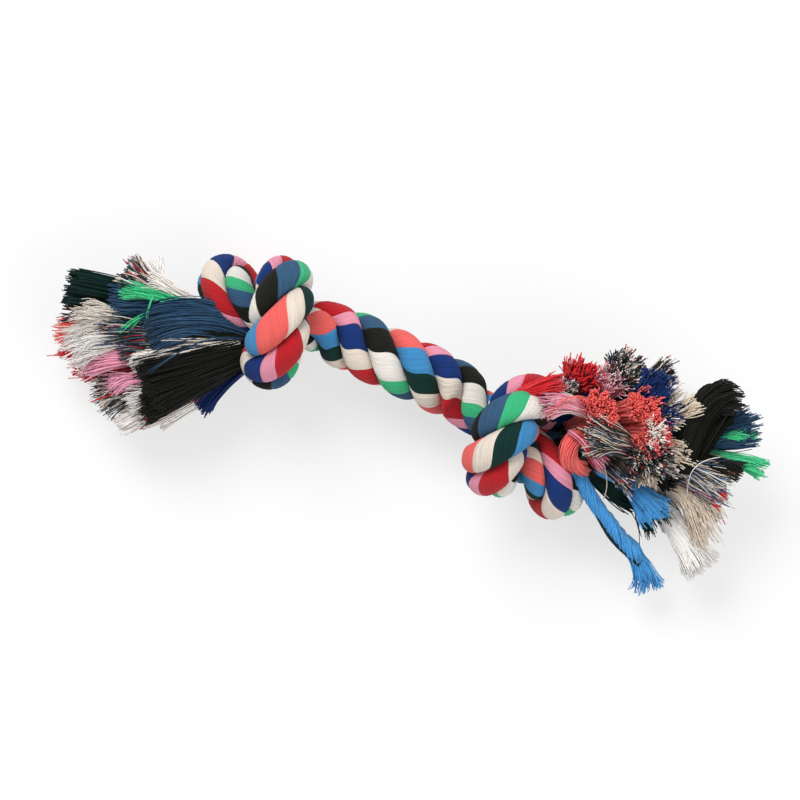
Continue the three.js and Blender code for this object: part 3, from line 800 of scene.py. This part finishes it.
class Tuft:
    """Collects the yarns of one tuft, lock by lock."""

    def __init__(self, seed, yarn_diameter):
        self.random = np.random.default_rng(seed)
        self.yarn_radius = yarn_diameter / 2
        self.points, self.faces, self.uvs, self.picks = [], [], [], []
        self.count = 0

    def add_lock(self, lock, material):
        """A lock of cut yarns along its route, which opens from its root to its tip."""
        middle = bezier(np.asarray(lock.route, dtype=float) * MM + SHIFT, YARN_STEPS)
        tangents = normalised(np.gradient(middle, axis=0))
        flat = np.cross((0, 0, 1), middle[-1] - middle[0])
        across = normalised(flat - tangents * (tangents @ flat)[:, None])
        up = np.cross(tangents, across)
        share = np.linspace(0, 1, YARN_STEPS)
        half_width = opened(lock.widths, share)
        half_height = opened(lock.heights, share)

        wisps = max(1, lock.yarns // WISP_YARNS)
        places, wisp = self._places(lock.yarns, wisps, share)
        turn = 2 * math.pi * lock.twist * share
        a = places[..., 0] * np.cos(turn) - places[..., 1] * np.sin(turn)
        b = places[..., 0] * np.sin(turn) + places[..., 1] * np.cos(turn)
        paths = (middle[None] + (a * half_width)[..., None] * across[None]
                 + (b * half_height)[..., None] * up[None])
        paths += self._bends(wisp, wisps, share) * lock.stray * MM
        paths = self._trimmed(paths, wisp, wisps, min(lock.stray, CUT_STRAY_LIMIT))

        thickness = (FIRM + SLACK) / (FIRM + SLACK * lock.stray)
        if lock.yarns < FEW_YARNS:
            thickness *= FEW_YARNS_SHARE
        radii = self.yarn_radius * thickness * self.random.uniform(*YARN_RANGE, (lock.yarns, 1))
        strips = self.random.permutation(lock.yarns) % STRIPS
        self._tubes(paths, across, up, radii, strips, material)
        if lock.yarns > MANY_YARNS:
            self._core(middle, across, up, half_width, half_height, material)

    def _places(self, count, wisps, share):
        """Each yarn's place in the round section, step by step, and the wisp it belongs to."""
        number = np.arange(count)
        distance = np.sqrt((number + 0.5) / count)
        bearing = number * GOLDEN_ANGLE
        spots = np.stack((distance * np.cos(bearing), distance * np.sin(bearing)), axis=-1)
        spots += self.random.normal(0, SPOT_SPREAD, spots.shape)
        heads = spots[self.random.permutation(count)[:wisps]]
        wisp = np.argmin(np.linalg.norm(spots[:, None] - heads[None], axis=2), axis=1)
        gather = (GATHER * share ** 2)[None, :, None]
        return spots[:, None] * (1 - gather) + heads[wisp][:, None] * gather, wisp

    def _bends(self, wisp, wisps, share):
        """How far each yarn bends away and waves, as shares of its lock's stray."""
        along = share[None, :, None]
        wisp_bend = self.random.normal(0, WISP_BEND, (wisps, 1, 3))[wisp]
        own_bend = self.random.normal(0, OWN_BEND, (len(wisp), 1, 3))
        own_phase = self.random.uniform(0, 2 * math.pi, (len(wisp), 1, 3))
        wisp_phase = self.random.uniform(0, 2 * math.pi, (wisps, 1, 3))[wisp]
        own_wave = np.sin(along * OWN_WAVE["run"] + own_phase) * OWN_WAVE["size"]
        wisp_wave = np.sin(along * WISP_WAVE["run"] + wisp_phase) * WISP_WAVE["size"]
        return (wisp_bend + own_bend) * along ** 2 + (own_wave + wisp_wave) * along

    def _trimmed(self, paths, wisp, wisps, stray):
        """The yarns with their ends cut unevenly, more so where they stray."""
        count, steps = paths.shape[:2]
        wisp_cut = self.random.uniform(0, WISP_CUT, wisps)[wisp] * stray
        own_cut = self.random.uniform(0, OWN_CUT, count) ** 3 * stray
        where = np.arange(steps)[None, :] * (1 - wisp_cut - own_cut)[:, None]
        low = np.minimum(where.astype(int), steps - 2)
        part = (where - low)[..., None]
        rows = np.arange(count)[:, None]
        return paths[rows, low] * (1 - part) + paths[rows, low + 1] * part

    def _tubes(self, paths, across, up, radii, strips, material):
        """Thin closed tubes along paths, an array of yarn, step and place."""
        turn = 2 * math.pi * np.arange(YARN_SIDES) / YARN_SIDES
        ring = np.cos(turn)[:, None] * across[:, None] + np.sin(turn)[:, None] * up[:, None]
        skin = paths[:, :, None] + radii[..., None, None] * ring[None]
        edges = (strips[:, None] + np.arange(YARN_SIDES + 1)[None] / YARN_SIDES) / STRIPS
        self._add(skin, edges, material)

    def _core(self, middle, across, up, half_width, half_height, material):
        """The dense middle of a lock, which keeps light from shining through."""
        turn = 2 * math.pi * np.arange(CORE_SIDES) / CORE_SIDES
        wide = (np.cos(turn)[None] * CORE_SHARE * half_width[:, None])[..., None] * across[:, None]
        high = (np.sin(turn)[None] * CORE_SHARE * half_height[:, None])[..., None] * up[:, None]
        skin = (middle[:, None] + wide + high)[None, :CORE_STEPS]
        self._add(skin, np.arange(CORE_SIDES + 1)[None] / CORE_SIDES, material)

    def _add(self, skin, edges, material):
        """Adds closed tubes from an array of tube, step, side and place."""
        count, steps, sides = skin.shape[:3]
        quads, ends = tube_faces(steps, sides)
        offsets = self.count + np.arange(count)[:, None, None] * steps * sides
        self.points.append(skin.reshape(-1, 3))
        self.faces += (quads[None] + offsets).reshape(-1, 4).tolist()
        for end in ends:
            self.faces += (np.array(end)[None] + offsets[:, 0]).tolist()
        self.uvs.append(tube_map(edges, np.linspace(0, 1, steps)))
        self.picks += [material] * (count * (len(quads) + 2))
        self.count += count * steps * sides

    def piece(self, name, slot, materials):
        """The tuft as one piece, which the floor flattens where it lies on it."""
        points = np.concatenate(self.points)
        points[:, 2] = np.maximum(points[:, 2], 0)
        return mesh_piece(f"{name}_yarn", [name], points.tolist(), self.faces,
                          np.concatenate(self.uvs), materials, self.picks)


def tassel(context, tufts, seed):
    """Builds the tufts of one tassel, each from its locks of yarn."""
    sizes = context.scene.rope_toy_sizes
    for number, (name, locks) in enumerate(tufts.items()):
        tuft = Tuft(seed + number, sizes.yarn_diameter)
        palettes = list(dict.fromkeys(lock.colour for lock in locks))
        for lock in locks:
            tuft.add_lock(lock, palettes.index(lock.colour))
        # Tufts of one colour in both tassels, and all mixed ones, are of one kind
        kind = name.split("tuft_")[1].rstrip("_123")
        tuft.piece(name, f"yarn_{kind}", [cut(context, palette) for palette in palettes])


# Operators


class RopeToyStrands(bpy.types.Operator):
    """Lay the three strands of the rope through both knots"""

    bl_idname = "rope_toy.strands"
    bl_label = "Lay Strands"

    def execute(self, context):
        for index, (name, bundles) in enumerate(STRANDS.items()):
            strand_piece(context, index, name, bundles)
        return {"FINISHED"}


class RopeToyLeftTassel(bpy.types.Operator):
    """Fray the left end into its tassel"""

    bl_idname = "rope_toy.left_tassel"
    bl_label = "Fray Left Tassel"

    def execute(self, context):
        tassel(context, LEFT_TUFTS, LEFT_SEED)
        return {"FINISHED"}


class RopeToyRightTassel(bpy.types.Operator):
    """Fray the right end into its tassel"""

    bl_idname = "rope_toy.right_tassel"
    bl_label = "Fray Right Tassel"

    def execute(self, context):
        tassel(context, RIGHT_TUFTS, RIGHT_SEED)
        return {"FINISHED"}


class RopeToyStage(bpy.types.Operator):
    """Set the camera, the floor and the lamps"""

    bl_idname = "rope_toy.stage"
    bl_label = "Set Stage"

    def execute(self, context):
        scene = context.scene
        scene.view_settings.view_transform = "Standard"
        self.set_camera(scene)
        self.set_light(scene)
        self.lay_floor(context)
        return {"FINISHED"}

    @staticmethod
    def set_camera(scene):
        data = bpy.data.cameras.new("camera")
        data.lens = CAMERA_LENS
        data.sensor_width = SENSOR_WIDTH
        camera = bpy.data.objects.new("camera", data)
        camera.location = (*CAMERA_AIM, CAMERA_HEIGHT)
        camera.rotation_euler = (0, 0, math.radians(CAMERA_TURN))
        scene.collection.objects.link(camera)
        scene.camera = camera

    @staticmethod
    def set_light(scene):
        world = bpy.data.worlds.new("studio")
        world.use_nodes = True
        background = world.node_tree.nodes["Background"]
        background.inputs["Color"].default_value = (1, 1, 1, 1)
        background.inputs["Strength"].default_value = WORLD_STRENGTH
        scene.world = world
        for name, place, size, power in LAMPS:
            data = bpy.data.lights.new(name, "AREA")
            data.shape = "DISK"
            data.size = size
            data.energy = power
            lamp = bpy.data.objects.new(name, data)
            lamp.location = place
            lamp.rotation_mode = "QUATERNION"
            lamp.rotation_quaternion = Vector(place).to_track_quat("Z", "Y")
            scene.collection.objects.link(lamp)

    @staticmethod
    def lay_floor(context):
        bpy.ops.object.select_all(action="DESELECT")
        bpy.ops.mesh.primitive_plane_add(size=FLOOR_SIZE, location=(0, 0, 0))
        floor = context.object
        floor.name = "floor"
        shader = Shader("pale_floor")
        shader.link(shader.principled.inputs["Base Color"], (FLOOR_GREY,) * 3)
        shader.link(shader.principled.inputs["Roughness"], 1)
        white = shader.node("ShaderNodeEmission", {}, {"Color": (1, 1, 1), "Strength": 1.0})
        seen = [shader.node("ShaderNodeLightPath", output=ray) for ray in SEEN_RAYS]
        share = sum(seen).clamped() * FLOOR_WHITE_SHARE
        grey = Value(shader, shader.principled.outputs[0])
        mixed = shader.node("ShaderNodeMixShader", {}, (share, grey, white))
        shader.link(shader.tree.nodes["Material Output"].inputs["Surface"], mixed)
        floor.data.materials.append(shader.material)


class RopeToyPanel(bpy.types.Panel):
    """Lists the toy's steps and settings"""

    bl_idname = "VIEW3D_PT_rope_toy"
    bl_label = "Rope Dog Toy"
    bl_space_type = "VIEW_3D"
    bl_region_type = "UI"
    bl_category = "Rope Toy"

    def draw(self, context):
        for settings in (context.scene.rope_toy_sizes, context.scene.rope_toy_colours):
            column = self.layout.column(align=True)
            for key in settings.__annotations__:
                column.prop(settings, key)
        for step in STEPS:
            self.layout.operator(step.bl_idname)


STEPS = (RopeToyStage, RopeToyStrands, RopeToyLeftTassel, RopeToyRightTassel)
CLASSES = (RopeToyColours, RopeToySizes, *STEPS, RopeToyPanel)


def register():
    for item in CLASSES:
        bpy.utils.register_class(item)
    bpy.types.Scene.rope_toy_colours = bpy.props.PointerProperty(type=RopeToyColours)
    bpy.types.Scene.rope_toy_sizes = bpy.props.PointerProperty(type=RopeToySizes)


def unregister():
    del bpy.types.Scene.rope_toy_sizes
    del bpy.types.Scene.rope_toy_colours
    for item in reversed(CLASSES):
        bpy.utils.unregister_class(item)


def main():
    register()
    bpy.ops.rope_toy.stage()
    bpy.ops.rope_toy.strands()
    bpy.ops.rope_toy.left_tassel()
    bpy.ops.rope_toy.right_tassel()


if __name__ == "__main__":
    main()
